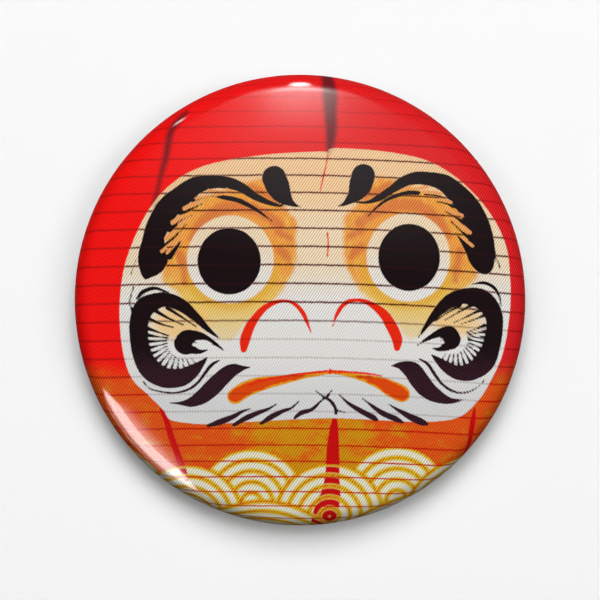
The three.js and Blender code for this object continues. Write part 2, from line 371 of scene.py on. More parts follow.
# pale strokes left open in the brows and curls
featherStrokes = [
    [(-17.7, 6.2, 0.22), (-16.7, 7.1, 0.18), (-15.6, 8.1, 0.06)],
    [(-17.0, 6.0, 0.18), (-16.2, 6.8, 0.15), (-15.2, 7.8, 0.06)],
    [(-17.1, 7.9, 0.3), (-16.5, 8.5, 0.22), (-15.6, 9.0, 0.09)],
    [(-16.3, 9.9, 0.3), (-15.3, 10.6, 0.25), (-14.3, 11.0, 0.09)],
    [(-15.6, 9.6, 0.13), (-14.5, 10.3, 0.2), (-13.3, 10.9, 0.07)],
    [(-14.8, 11.7, 0.27), (-13.6, 12.3, 0.25), (-12.2, 12.6, 0.09)],
    [(-13.3, 13.0, 0.18), (-12.5, 13.2, 0.18), (-11.3, 13.3, 0.07)],
    [(-11.7, 14.0, 0.22), (-10.5, 13.8, 0.25), (-9.0, 13.5, 0.09)],
    [(-9.4, 14.2, 0.18), (-8.7, 13.8, 0.15), (-7.9, 13.5, 0.07)],
    [(22.13, 6.9, 0.2), (21.23, 7.6, 0.18), (20.33, 8.3, 0.07)],
    [(21.83, 8.6, 0.22), (20.63, 9.6, 0.18), (19.23, 10.6, 0.07)],
    [(20.73, 10.8, 0.27), (19.53, 11.3, 0.2), (18.13, 12.0, 0.07)],
    [(19.33, 12.5, 0.22), (18.13, 12.9, 0.18), (17.03, 13.1, 0.07)],
    [(18.13, 13.6, 0.2), (16.83, 13.8, 0.18), (15.53, 13.8, 0.07)],
    [(16.33, 14.5, 0.18), (15.23, 14.3, 0.16), (14.13, 14.1, 0.07)],
    [(14.13, 14.6, 0.16), (13.03, 14.1, 0.13), (11.93, 13.6, 0.05)],
    [(-13.6, -5.7, 0.2), (-12.6, -5.9, 0.27), (-11.5, -6.1, 0.18)],
    [(-13.3, -5.3, 0.13), (-12.2, -5.3, 0.18), (-11.3, -5.6, 0.1)],
    [(18.33, -5.4, 0.18), (17.53, -5.6, 0.25), (16.53, -5.8, 0.18)],
    [(18.23, -5.0, 0.11), (17.23, -5.1, 0.16), (16.33, -5.4, 0.1)],
]
noseStrokes = [
    [(-7.2, -6.3, 0.42), (-7.0, -5.0, 0.66), (-6.4, -3.4, 0.6), (-5.3, -1.8, 0.46), (-3.9, -0.6, 0.34),
     (-2.1, -0.1, 0.18), (-0.7, -0.5, 0.24), (0.4, -1.7, 0.3), (1.0, -3.1, 0.17), (1.4, -4.1, 0.06)],
    [(4.18, -3.3, 0.06), (4.78, -1.7, 0.24), (5.78, -0.4, 0.29), (7.38, 0.0, 0.22), (9.0, -0.5, 0.36),
     (10.6, -1.7, 0.58), (11.7, -3.4, 0.71), (12.4, -5.0, 0.67), (12.4, -6.1, 0.42)],
]
mouthStrokes = [
    [(-8.3, -12.3, 1.02), (-7.1, -11.5, 1.02), (-5.3, -10.8, 0.93), (-3.3, -10.4, 0.71),
     (-1.1, -10.0, 0.49),
     (1.3, -9.6, 0.29), (4.0, -9.3, 0.18), (6.0, -9.5, 0.27), (8.2, -10.0, 0.49), (10.2, -10.6, 0.8),
     (11.8, -11.4, 1.07), (13.0, -12.0, 1.08)],
]
mouthLines = [
    [(-6.6, -10.9, 0.1), (-4.5, -10.2, 0.14), (-1.0, -9.6, 0.15), (1.5, -9.3, 0.16), (3.8, -9.1, 0.16),
     (6.0, -9.2, 0.16),
     (8.5, -9.4, 0.15), (10.5, -9.7, 0.1)],
    [(3.8, -8.8, 0.06), (3.9, -9.4, 0.12)],
    # the fine seam of the lantern down the forehead
    [(3.6, 18.6, 0.08), (3.3, 17.0, 0.09), (2.9, 15.4, 0.06), (2.6, 14.0, 0.02)],
    [(3.5, 8.6, 0.04), (3.6, 7.2, 0.06), (3.5, 5.6, 0.02)],
]
# the tinted patch round the left eye, and streaks of stronger tint in it; the right eye has them mirrored
washOutline = [
    (-17.6, 2.4), (-17.4, 5.0), (-17.2, 8.0), (-15.6, 11.2), (-12.9, 13.0), (-9.5, 14.2), (-6.5, 15.3),
    (-4.3, 15.2),
    (-2.0, 11.9), (-0.5, 10.2), (-0.4, 7.5), (-0.5, 4.6), (-1.3, 2.6), (-2.4, 1.0), (-3.8, -0.4),
    (-5.9, -2.0),
    (-7.3, -3.6), (-8.6, -5.2), (-10.2, -5.1), (-11.2, -4.0), (-13.0, -2.3), (-14.7, -0.6), (-15.8, 0.9),
]
washStreaks = [
    [(-13.9, 7.8, 0.4), (-12.6, 9.8, 0.7), (-10.2, 11.6, 0.8), (-7.2, 11.9, 0.8), (-4.6, 11.0, 0.7),
     (-2.6, 9.6, 0.7)],
    [(-2.7, 8.6, 0.5), (-1.2, 7.9, 0.3)],
    [(-2.6, 6.4, 0.5), (-1.9, 5.9, 0.6), (-1.4, 5.2, 0.3)],
    [(-15.4, 5.9, 0.5), (-14.9, 4.1, 0.5), (-14.7, 2.2, 0.3)],
    [(-6.3, 14.5, 0.4), (-4.6, 13.6, 0.5), (-3.2, 12.7, 0.3)],
]
darkSeams = [
    [(3.4, 30.5, 0.5), (3.8, 26.5, 0.85), (3.9, 24.2, 0.72), (4.0, 22.0, 0.62), (3.9, 20.2, 0.45),
     (3.7, 18.9, 0.2)],
    [(-14.7, 24.2, 0.2), (-15.6, 23.1, 0.35), (-16.5, 21.8, 0.33), (-16.9, 20.0, 0.3), (-17.2, 18.2, 0.27),
     (-17.7, 16.5, 0.2), (-18.1, 14.7, 0.13), (-18.5, 13.1, 0.16), (-18.8, 12.2, 0.06)],
]
redSeams = [
    [(4.5, -14.6, 0.1), (4.4, -15.8, 0.45), (4.3, -17.3, 0.65), (4.2, -19.1, 0.8), (4.2, -20.9, 0.87),
     (4.1, -22.9, 0.95), (3.9, -25.1, 1.3), (3.3, -27.3, 1.6), (3.0, -31.0, 1.8)],
    [(-17.8, -14.0, 0.25), (-17.1, -15.5, 0.35), (-16.5, -17.5, 0.4), (-15.8, -19.5, 0.42),
     (-15.1, -21.5, 0.42),
     (-14.5, -23.1, 0.3)],
    [(22.4, -13.8, 0.12), (22.2, -15.3, 0.33), (22.0, -17.1, 0.36), (21.9, -18.9, 0.3), (21.5, -22.0, 0.3)],
]
faceOutline = [
    (-11.1, 17.5), (-4.4, 18.6), (2.7, 19.0), (3.6, 18.8), (4.0, 19.4), (7.8, 19.3), (12.3, 18.8),
    (16.17, 17.9),
    (19.37, 16.2), (22.07, 13.9), (24.17, 11.4), (25.67, 8.9), (26.57, 6.4), (26.87, 4.1),
    (26.97, -0.7), (26.07, -6.6),
    (24.17, -10.9), (22.47, -13.3), (20.17, -15.1), (16.17, -15.6), (10.4, -15.4), (3.8, -15.1),
    (-5.1, -15.5),
    (-11.9, -15.9), (-14.7, -15.7), (-16.7, -15.3), (-17.5, -14.1), (-19.4, -12.2), (-21.5, -10.1),
    (-22.6, -7.0), (-23.1, -2.6), (-22.9, 1.8), (-22.1, 5.6), (-20.2, 10.1), (-18.0, 13.4), (-15.0, 15.9),
]
# the face's middle line, and how much higher its right side sits
faceMiddle = {"x": 2.565, "lift": 0.3}


# the same points on the other side of the face's middle line
def mirrored(points):
    return [(2 * faceMiddle["x"] - x, z + faceMiddle["lift"], *width) for x, z, *width in points]


# eyes as (x, z, half width, half height)
pupils = [(-9.05, 4.95, 4.05, 4.25), (13.95, 5.45, 3.95, 4.3)]
eyeWhites = [(-8.9, 5.2, 5.55, 5.6), (13.85, 5.45, 5.35, 5.65)]
# curl rays as (x, z, half width, half height, first angle, last angle)
curlRays = [(-15.3, -5.1, 4.1, 3.95, 160, 300), (19.95, -4.7, 3.8, 3.7, 22, -120)]
# the spikes' reach, as shares of a curl's size, and their half widths from the outer end inwards
spikes = {
    "count": 13,
    "outer": 1.06,
    "inner": 0.38,
    "shortening": 0.30,
    "bias": 1.3,
    "widths": (0.24, 0.12, 0.06),
}
curlTints = [(-15.3, -2.9, 4.2, 2.6), (19.95, -2.5, 3.9, 2.4)]
# wave fans from front to back as (x, z, radius, ring pitch)
waveFans = [
    (-4.7, -37.2, 11.4, 1.3), (15.3, -37.0, 11.4, 1.3), (-21.0, -37.0, 11.4, 1.3),
    (3.8, -27.9, 6.9, 1.4), (-14.3, -28.1, 6.9, 1.4), (21.0, -27.6, 6.9, 1.4),
    (-6.2, -26.0, 6.9, 1.4), (12.4, -25.7, 6.9, 1.4), (-24.0, -26.3, 6.9, 1.4),
]


# points along a smooth curve through all the given points but the first and the last
def curveRun(points, perSpan):
    run = []
    for a, b, c, d in zip(points, points[1:], points[2:], points[3:]):
        for step in range(perSpan):
            t = step / perSpan
            bend = (2 * a - 5 * b + 4 * c - d) * t * t + (3 * b - a - 3 * c + d) * t ** 3
            run.append(0.5 * (2 * b + (c - a) * t + bend))
    run.append(points[-2])
    return np.array(run)


# how far along the line from a to b each point's nearest place is, from 0 to 1, and the distance to it
def nearestOnLine(x, z, a, b):
    along = b[:2] - a[:2]
    t = np.clip(((x - a[0]) * along[0] + (z - a[1]) * along[1]) / max(along @ along, tiny), 0, 1)
    return t, np.hypot(x - a[0] - t * along[0], z - a[1] - t * along[1])


# how far each point lies inside the strokes, in millimetres; negative outside, never below -reach
def insideStrokes(x, z, strokes, reach=1.0, thinnest=0.1):
    inside = np.full(len(x), -reach)
    for stroke in strokes:
        p = np.array(stroke, float)
        run = curveRun(np.vstack([2 * p[0] - p[1], p, 2 * p[-1] - p[-2]]), 5)
        # a line narrower than the mesh's own spacing would break up into dots
        run[:, 2] = np.maximum(run[:, 2], thinnest)
        margin = run[:, 2].max() + reach
        near = np.nonzero((x > run[:, 0].min() - margin) & (x < run[:, 0].max() + margin)
                          & (z > run[:, 1].min() - margin) & (z < run[:, 1].max() + margin))[0]
        best = inside[near]
        for a, b in zip(run, run[1:]):
            t, away = nearestOnLine(x[near], z[near], a, b)
            best = np.maximum(best, a[2] + (b[2] - a[2]) * t - away)
        inside[near] = best
    return inside


# how far each point lies inside a closed outline, in millimetres; negative outside
def insideOutline(x, z, outline):
    loop = np.array(outline + outline[:1], float)
    run = curveRun(np.vstack([loop[-2], loop, loop[1]]), 4)
    distance = np.full(len(x), np.inf)
    within = np.zeros(len(x), bool)
    for a, b in zip(run, run[1:]):
        distance = np.minimum(distance, nearestOnLine(x, z, a, b)[1])
        across, up = b - a
        spans = (a[1] > z) != (b[1] > z)
        within ^= spans & (x < a[0] + (z - a[1]) * across / (up if abs(up) > tiny else tiny))
    return np.where(within, distance, -distance)


def insideEllipses(x, z, ellipses):
    inside = np.full(len(x), -2.0)
    for cx, cz, wide, high in ellipses:
        scaled = np.hypot((x - cx) / wide, (z - cz) / high)
        inside = np.maximum(inside, (1 - scaled) * min(wide, high))
    return inside


# dark spikes that divide the pale rays inside each curl
def rayStrokes():
    strokes = []
    for cx, cz, wide, high, first, last in curlRays:
        for index in range(spikes["count"]):
            share = index / (spikes["count"] - 1)
            angle = math.radians(first + (last - first) * share)
            reach = spikes["inner"] + spikes["shortening"] * share ** spikes["bias"]
            ends = np.array([(cx + wide * out * math.cos(angle), cz + high * out * math.sin(angle))
                             for out in (spikes["outer"], reach)])
            places = (ends[0], ends.mean(axis=0), ends[1])
            strokes.append([(*place, width) for place, width in zip(places, spikes["widths"])])
    return strokes


# how far inside the fans each point is, and its distance from the nearest drawn ring
def waves(x, z):
    inside = np.full(len(x), -3.0)
    line = np.full(len(x), 9.0)
    covered = np.zeros(len(x), bool)
    for cx, cz, radius, pitch in waveFans:
        depth = radius - np.hypot(x - cx, z - cz)
        open_ = ~covered
        line[open_] = np.minimum(line[open_], np.abs(depth[open_]))
        rings = np.mod(depth, pitch)
        own = open_ & (depth > 0)
        line[own] = np.minimum(line[own], np.minimum(rings[own], pitch - rings[own]))
        covered |= depth > 0
        inside = np.maximum(inside, depth)
    return inside, line


def frontOutline():
    b = badge
    crown = math.radians(b["crownAngle"])
    startR = b["radius"] - b["frontEdge"] + b["frontEdge"] * math.sin(crown)
    startY = -b["rearEdge"] - b["frontEdge"] * math.cos(crown)
    domeRadius = startR / math.sin(crown)
    domeY = startY + domeRadius * math.cos(crown)
    landR = b["radius"] - b["rearEdge"] - b["landWidth"]
    dome = arc(0, domeY, domeRadius, -90, -90 + b["crownAngle"], 112)
    dome[0] = (0.0, dome[0][1])
    edge = arc(b["radius"] - b["frontEdge"], -b["rearEdge"], b["frontEdge"], -90 + b["crownAngle"], 0, 16)
    rear = arc(b["radius"] - b["rearEdge"], -b["rearEdge"], b["rearEdge"], 0, 90, 8)
    tuck = arc(landR, -b["tuck"], b["tuck"], 90, 180, 6)
    end = landR - b["tuck"]
    tail = [(end, -b["tuckDepth"]), (end + b["skin"], -b["tuckDepth"]), (end + b["skin"], -b["tuck"])]
    return dome + edge[1:] + rear[1:] + tuck + tail, startR


# printed radius of each outline point: the plain radius over the dome, then the sheet's length round the edge
def printedRadii(outline, startR):
    radii = []
    travelled = 0.0
    for index, (r, y) in enumerate(outline):
        if r <= startR + 1e-6 and y < -badge["rearEdge"] - 1.0:
            radii.append(r)
            continue
        travelled += math.hypot(r - outline[index - 1][0], y - outline[index - 1][1])
        radii.append(startR + travelled)
    return np.array(radii)


def makeFront(material):
    outline, startR = frontOutline()
    radii = printedRadii(outline, startR)
    bm = lathe(outline, *badge["turnSteps"])
    toMetres(bm)
    piece = newPiece("printed_front", bm, material, "badge")
    mesh = piece.data
    place = np.zeros(len(mesh.vertices) * 3, np.float32)
    mesh.vertices.foreach_get("co", place)
    place = place.reshape(-1, 3).astype(float) / mm
    # each vertex lies on one of the outline's circles
    circle = np.column_stack([np.hypot(place[:, 0], place[:, 2]), place[:, 1]])
    circles, which = np.unique(circle.round(3), axis=0, return_inverse=True)
    points = np.array(outline)
    nearest = [np.hypot(points[:, 0] - r, points[:, 1] - y).argmin() for r, y in circles]
    flat = radii[nearest][which.ravel()]
    turn = np.arctan2(place[:, 2], place[:, 0])
    x, z = flat * np.cos(turn), flat * np.sin(turn)
    waveInside, waveLine = waves(x, z)
    inkStrokes = browStrokes + cheekStrokes + beardStrokes + rayStrokes()
    fields = {
        "face": insideOutline(x, z, faceOutline),
        "ink": np.maximum(insideStrokes(x, z, inkStrokes), insideEllipses(x, z, pupils)),
        "feather": insideStrokes(x, z, featherStrokes),
        "nose": insideStrokes(x, z, noseStrokes),
        "mouth": insideStrokes(x, z, mouthStrokes),
        "mouthLine": insideStrokes(x, z, mouthLines),
        "wash": np.maximum(insideOutline(x, z, washOutline), insideOutline(x, z, mirrored(washOutline))),
        "streak": insideStrokes(x, z, washStreaks + [mirrored(stroke) for stroke in washStreaks], 2.0),
        "whites": insideEllipses(x, z, eyeWhites),
        "curls": insideEllipses(x, z, curlTints),
        "darkSeam": insideStrokes(x, z, darkSeams),
        "redSeam": insideStrokes(x, z, redSeams),
        "waves": waveInside,
        "waveLine": waveLine,
        "printX": x,
        "printZ": z,
        "behind": np.clip((place[:, 1] - badge["gatherFrom"]) / badge["gatherDepth"], 0, 1),
    }
    for name, values in fields.items():
        made = mesh.attributes.new(name, "FLOAT", "POINT")
        made.data.foreach_set("value", values.astype(np.float32))
    bakeMap = mesh.uv_layers.new(name="OFBake")
    corners = np.zeros(len(mesh.loops), np.int32)
    mesh.loops.foreach_get("vertex_index", corners)
    sheet = 0.5 + 0.497 * np.column_stack([x, z])[corners] / radii.max()
    bakeMap.data.foreach_set("uv", sheet.astype(np.float32).ravel())
    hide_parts("clear_film", "printed_paper")
    # the print would otherwise tint the pale ground red
    piece.visible_diffuse = False
    print("stage: printed front,", len(mesh.polygons), "faces")


# printed colours as screen values
inks = {
    "redLeft": (244, 20, 18),
    "redRight": (218, 34, 38),
    "cream": (233, 196, 152),
    "offWhite": (232, 212, 182),
    "white": (227, 226, 224),
    # painted shade: a greyer white for the lower face
    "whiteLowPaintedShade": (214, 215, 216),
    "orange": (232, 150, 44),
    "orangeDeep": (206, 92, 34),
    "yellow": (226, 172, 14),
    "pale": (230, 192, 78),
    "feather": (228, 158, 96),
    "curl": (238, 194, 112),
    "black": (24, 15, 17),
    "plum": (58, 30, 42),
    "nose": (232, 42, 18),
    "mouth": (222, 72, 16),
    "mouthEdge": (226, 160, 30),
    "band": (222, 84, 24),
    "bandYellow": (206, 146, 22),
    "wave": (228, 225, 206),
    "waveYellow": (222, 190, 40),
    "waveLine": (212, 104, 20),
    "wedge": (204, 14, 18),
    "seam": (46, 28, 36),
    "slat": (90, 18, 14),
    "slatRed": (138, 14, 20),
    "slatWarm": (196, 20, 10),
}

# the slats of the lantern in the print, in millimetres
slats = {
    "drum": 40.0,
    "perRadian": 16.8,
    "phase": 0.0966,
    "middle": -3.0,
    "bowRight": 0.0015,
    "bowLeft": 0.0006,
    "width": 0.14,
}

# the cloth of the print: thread pitch in millimetres, lean of the twill in degrees, and its shade
weave = {
    "pitch": 0.30,
    "lean": 33,
    "between": (0.62, 0.58, 0.52, 1.0),
    "thread": (1.23, 1.22, 1.21, 1.0),
}

# the clear film: relief depths in metres; it throws less glare where it is seen aslant, so that a lamp
# there doesn't hide the print
film = {
    "roughness": 0.05,
    "pleats": 14.0,
    "pleatDepth": 0.00012,
    "rippleDepth": 0.000004,
    "aslant": (0.13, 0.26),
    "glareLoss": 0.88,
}

# heights up the print, in millimetres, between which one tone turns into the next; the band and the wear
# are measured downwards, and the red across
turns = {
    "red": (-26.0, 24.0),
    "band": (9.5, 13.5),
    "wear": (5.5, 10.0),
    # painted shade: the heights over which the face's white greys downwards
    "whiteLowPaintedShade": (-6.0, -14.0),
    "offWhite": (-1.0, 6.0),
    "cream": (8.0, 15.0),
    "tint": (-0.5, 4.5),
    "halo": (1.0, 7.5),
    "tintFade": (0.0, -5.0),
    "eyeWhite": (1.0, 9.0),
    "brush": (-2.0, 6.0),
    "faceSlats": (-1.5, -4.5),
    "topSlats": (18.0, 28.0),
    "faceShade": (2.0, -5.0),
}


def printLook():
    look = Look("printedFilm")
    c = {name: paint(*value) for name, value in inks.items()}
    x = look.attribute("printX")
    z = look.attribute("printZ")
    flat = look.join(x, z, 0.0)
    wander = look.noise(flat, 0.9, 3.0, 0.6) - 0.5
    bristle = look.noise(look.stretch(flat, (3.0, 3.0, 3.0)), 1.0, 2.0, 0.6) - 0.5
    rough = wander * 0.10 + bristle * 0.10

    def edge(name, soft):
        return (look.attribute(name) + rough).rise(-soft, soft)

    # twill: 1 on a thread, 0 between two
    tilted = look.stretch(flat, (1.0, 1.0, 1.0), (0.0, 0.0, math.radians(weave["lean"])))
    bands = {"wave_type": "BANDS", "bands_direction": "X", "wave_profile": "SIN"}
    # at this scale a wave texture has one band to the millimetre
    oneBand = math.tau / 20
    spacing = {"Vector": tilted, "Scale": oneBand / weave["pitch"], "Distortion": 0.5, "Detail": 1.0}
    threads = look.node("ShaderNodeTexWave", bands, spacing, "Fac")
    speck = look.noise(flat, 3.5, 2.0, 0.7)

    # lantern red, brighter on the left
    red = look.mix((x + wander * 14.0).rise(*turns["red"]), c["redLeft"], c["redRight"])
    blotch = look.noise(look.stretch(flat, (0.34, 0.62, 1.0)), 1.0, 4.0, 0.66)
    spread = x.math("ABSOLUTE") * 0.12 - 1.0
    orangeZone = (z * -1.0 + wander * 2.4 + spread).rise(*turns["band"])
    towardsMiddle = 1.0 - (x - 1.5).math("ABSOLUTE").rise(3.0, 15.0)
    yellowing = (blotch + towardsMiddle * 0.24 + threads * 0.12).rise(0.60, 0.86)
    ground = look.mix(orangeZone, red, look.mix(yellowing, c["band"], c["bandYellow"]))

    # waves: a ring line, its yellow edge and the pale field between
    line = look.attribute("waveLine") + bristle * 0.12 + threads * 0.04
    waveColour = look.mix(line.rise(0.06, 0.20), c["waveLine"], c["waveYellow"])
    waveColour = look.mix(line.rise(0.26, 0.46), waveColour, c["wave"])
    wavesIn = (look.attribute("waves") + rough).rise(-0.06, 0.06)
    ground = look.mix(wavesIn, ground, waveColour)
    gap = 1.0 - wavesIn * (1.0 - line.rise(0.30, 0.42)) * 0.8
    ground = look.mix(edge("redSeam", 0.09) * gap, ground, c["wedge"])

    # the face: cream above, white below that turns greyer towards the bottom as painted shade, tinted round
    # the eyes
    face = edge("face", 0.07)
    # painted shade: the white turns greyer towards the bottom of the face
    skin = look.mix((z + wander).rise(*turns["whiteLowPaintedShade"]), c["white"], c["whiteLowPaintedShade"])
    skin = look.mix((z + wander * 2.0).rise(*turns["offWhite"]), skin, c["offWhite"])
    skin = look.mix((z + wander * 2.0).rise(*turns["cream"]), skin, c["cream"])
    mottle = look.noise(look.stretch(flat, (0.7, 0.7, 1.0)), 1.0, 4.0, 0.6) - 0.5
    strand = look.noise(look.stretch(flat, (1.3, 0.5, 1.0), (0.0, 0.0, 0.5)), 1.0, 3.0, 0.6) - 0.5
    tintEdge = (look.attribute("wash") + mottle * 0.9).rise(-0.35, 0.5)
    height = z + mottle * 5.0
    tint = look.mix(height.rise(*turns["tint"]), c["pale"], c["orange"])
    tint = look.mix(strand.rise(-0.02, 0.18) * 0.5, tint, c["pale"])
    halo = look.attribute("whites") + mottle * 0.3
    halo = halo.rise(-1.5, -0.5) * (0.9 + strand)
    tint = look.mix(halo, tint, look.mix(height.rise(*turns["halo"]), c["yellow"], c["orange"]))
    streaks = (look.attribute("streak") + mottle * 0.8).rise(-0.4, 0.4)
    tint = look.mix(streaks * 0.72, tint, c["orangeDeep"])
    skin = look.mix(tintEdge * (0.92 - z.rise(*turns["tintFade"]) * 0.35), skin, tint)
    skin = look.mix((look.attribute("curls") + mottle * 1.5).rise(-0.6, 1.2) * 0.8, skin, c["curl"])
    eyeWhite = look.mix((z + wander).rise(*turns["eyeWhite"]), c["white"], c["offWhite"])
    skin = look.mix(edge("whites", 0.16), skin, eyeWhite)
    skin = look.mix(edge("nose", 0.08), skin, c["nose"])
    lip = (look.attribute("mouth") + mottle * 1.1).rise(0.08, 0.34)
    skin = look.mix(edge("mouth", 0.08), skin, look.mix(lip, c["mouthEdge"], c["mouth"]))
    skin = look.mix(edge("mouthLine", 0.06), skin, c["nose"])
    shown = look.mix(face, ground, skin)
    seams = (look.attribute("darkSeam") + bristle * 0.3 + threads * 0.1).rise(-0.5, 0.4)
    shown = look.mix(seams * (0.82 - face * 0.5), shown, c["seam"])

    # brush black, which wears to plum along the threads low down
    low = (z * -1.0 + wander * 3.0).rise(*turns["wear"])
    worn = low * (0.35 + threads * 0.65)
    ink = edge("ink", 0.07)
    black = look.mix(threads.rise(0.5, 1.0) * 0.30, c["black"], c["seam"])
    shown = look.mix(ink, shown, look.mix(worn, black, c["plum"]))
    openBrush = look.mix((z + wander * 3.0).rise(*turns["brush"]), c["white"], c["feather"])
    shown = look.mix(edge("feather", 0.07), shown, openBrush)

    # slat lines, beaded where they cross the threads
    fromMiddle = x - slats["middle"]
    right = fromMiddle.max(0.0)
    left = fromMiddle.min(0.0)
    bow = right * right * slats["bowRight"] + left * left * slats["bowLeft"]
    level = (z + bow + wander * 0.2) / slats["drum"]
    count = level.max(-0.99).min(0.99).math("ARCSINE") * slats["perRadian"] + slats["phase"]
    away = (count - count.math("ROUND")).math("ABSOLUTE") * 2.3 + threads * 0.05
    dashes = look.noise(look.stretch(flat, (2.6, 0.3, 1.0)), 1.0, 2.0, 0.6)
    onRed = (1.0 - face) * (1.0 - orangeZone)
    slatLine = 1.0 - (away + bristle * 0.06 - slats["width"]).rise(-0.09, 0.10)
    lowFace = face * z.rise(*turns["faceSlats"])
    paleOnRed = onRed * 0.40 * (1.0 + z.rise(*turns["topSlats"]) * 0.8)
    strength = (0.97 - lowFace * 0.42 - paleOnRed) * (0.66 + dashes * 0.62)
    strength = (strength - lowFace * (1.0 - threads.rise(0.35, 0.8)) * 0.5).max(0.0).min(1.0)
    slatColour = look.mix(onRed, c["slat"], c["slatRed"])
    slatColour = look.mix(orangeZone * (1.0 - face), slatColour, c["slatWarm"])
    shown = look.mix(slatLine * strength * (1.0 - ink * 0.9), shown, slatColour)

    # shading of the cloth
    grain = threads * 0.85 + speck * 0.3
    shade = look.mix(grain, weave["between"], weave["thread"])
    shade = look.mix(face * z.rise(*turns["faceShade"]) * 0.45, shade, (1.0, 1.0, 1.0, 1.0))
    shown = look.mix(1.0, shown, shade, "MULTIPLY")

    # the film: pleats where it is gathered behind, and a faint ripple in front
    behind = look.attribute("behind")
    angle = look.node("ShaderNodeMath", {"operation": "ARCTAN2"}, {0: z, 1: x})
    pleat = look.noise(look.join(angle * film["pleats"], 0.0, behind * 0.6), 1.0, 2.0, 0.5)
    ripple = look.noise(flat, 0.25, 2.0, 0.5)
    relief = behind * pleat * film["pleatDepth"] + ripple * film["rippleDepth"]
    normal = look.bump(relief, 1.0, 0.6)
    aslant = look.node("ShaderNodeLayerWeight", None, {"Blend": 0.5}, "Facing")
    gloss = 1.0 - aslant.rise(*film["aslant"]) * film["glareLoss"]
    return look.surface({
        "Base Color": shown,
        "Roughness": 0.62,
        "Specular IOR Level": 0.0,
        "Coat Weight": gloss,
        "Coat Roughness": film["roughness"],
        "Coat IOR": 1.5,
        "Normal": normal,
    })


makeFront(printLook())

# tinplate, drawn wire and nickel plate: light and dull grey levels, roughness and stretch of the grain
metals = {
    "tin": {
        "light": (0.83, 0.83, 0.81, 1.0),
        "dull": (0.66, 0.66, 0.64, 1.0),
        "rough": 0.24,
        "grain": (0.4, 7.0, 7.0),
    },
    "wire": {
        "light": (0.80, 0.79, 0.77, 1.0),
        "dull": (0.62, 0.61, 0.58, 1.0),
        "rough": 0.18,
        "grain": (0.5, 8.0, 8.0),
    },
    "catch": {
        "light": (0.84, 0.83, 0.80, 1.0),
        "dull": (0.70, 0.69, 0.66, 1.0),
        "rough": 0.20,
        "grain": (6.0, 6.0, 0.6),
    },
}
# the colour of small dull spots, and the depths of drawing lines and of dents, in metres
wear = {"spots": paint(112, 100, 84), "lines": 0.0000035, "dents": 0.00001}


def metalLook(name, settings):
    look = Look(name)
    place = look.stretch(look.object(), (1 / mm, 1 / mm, 1 / mm))
    lines = look.noise(look.stretch(place, settings["grain"]), 1.0, 3.0, 0.65)
    cloud = look.noise(place, 0.22, 4.0, 0.6)
    spots = look.noise(place, 2.2, 2.0, 0.6).rise(0.68, 0.74)
    tone = (cloud * 0.7 + lines * 0.4).rise(0.35, 0.75)
    colour = look.mix(tone, settings["dull"], settings["light"])
    colour = look.mix(spots * 0.35, colour, wear["spots"])
    rough = settings["rough"] + cloud * 0.14 + spots * 0.2
    normal = look.bump(lines * wear["lines"] + cloud * wear["dents"], 1.0, 0.5)
    return look.surface({"Base Color": colour, "Metallic": 1.0, "Roughness": rough, "Normal": normal})


# the pressed back plate: radii and heights in millimetres, heights measured along Y
plate = {
    "floor": -1.3,
    "floorRadius": 22.0,
    "bead": [(22.7, -1.3), (22.98, -0.95), (24.02, -0.95), (24.3, -1.3)],
    "step": [(24.7, -1.3), (25.1, -1.75), (28.1, -1.75)],
    "thickness": 0.3,
    "strapCentres": (-8.0, 8.0),
    "strapHeight": 6.0,
    "strapWidth": 3.5,
    "strapReach": 1.9,
    "strapTop": 0.4,
    "pressRadius": 0.28,
    "slotCorner": 0.25,
    "strapBend": 0.7,
    "wear": 0.05,
    "turnSteps": (12, 16),
}


def makePlate(material):
    p = plate
    outline = [(p["floorRadius"], p["floor"])] + p["bead"] + p["step"]
    bm = lathe(soften(outline, p["pressRadius"]), *p["turnSteps"])
    rim = [edge for edge in bm.edges if edge.is_boundary
           and all(math.hypot(v.co.x, v.co.z) < p["floorRadius"] + 0.1 for v in edge.verts)]
    for centre in p["strapCentres"]:
        wide, high = p["strapWidth"] / 2, p["strapReach"] - p["thickness"]
        corners = [(-wide, -high), (wide, -high), (wide, high), (-wide, high)]
        start = (0.0, -high)
        loop = soften([start, *corners[1:], corners[0], start], p["slotCorner"])[:-1]
        verts = [bm.verts.new((centre + x, p["floor"], p["strapHeight"] + z)) for x, z in loop]
        rim += [bm.edges.new(pair) for pair in zip(verts, verts[1:] + verts[:1])]
    bmesh.ops.triangle_fill(bm, use_beauty=True, use_dissolve=False, edges=rim, normal=(0, 1, 0))
    bmesh.ops.recalc_face_normals(bm, faces=bm.faces)
    upwards = sum(face.normal.y * face.calc_area() for face in bm.faces) > 0
    if not upwards:
        bmesh.ops.reverse_faces(bm, faces=bm.faces)
    for centre in p["strapCentres"]:
        reach, top = p["strapReach"] - p["thickness"] / 2, p["strapTop"] - p["thickness"] / 2
        foot = p["floor"] - p["thickness"] / 2
        path = soften([(-reach, foot), (-reach, top), (reach, top), (reach, foot)], p["strapBend"], 6)
        verts = [bm.verts.new((centre - p["strapWidth"] / 2, y, p["strapHeight"] + z)) for z, y in path]
        edges = [bm.edges.new(pair) for pair in zip(verts, verts[1:])]
        made = bmesh.ops.extrude_edge_only(bm, edges=edges)["geom"]
        across = [item for item in made if isinstance(item, bmesh.types.BMVert)]
        bmesh.ops.translate(bm, vec=(p["strapWidth"], 0, 0), verts=across)
    toMetres(bm)
    piece = newPiece("back_plate_pressed", bm, material, "badge")
    thicken(piece, p["thickness"], p["wear"], 30)
    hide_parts("back_plate")
    return piece


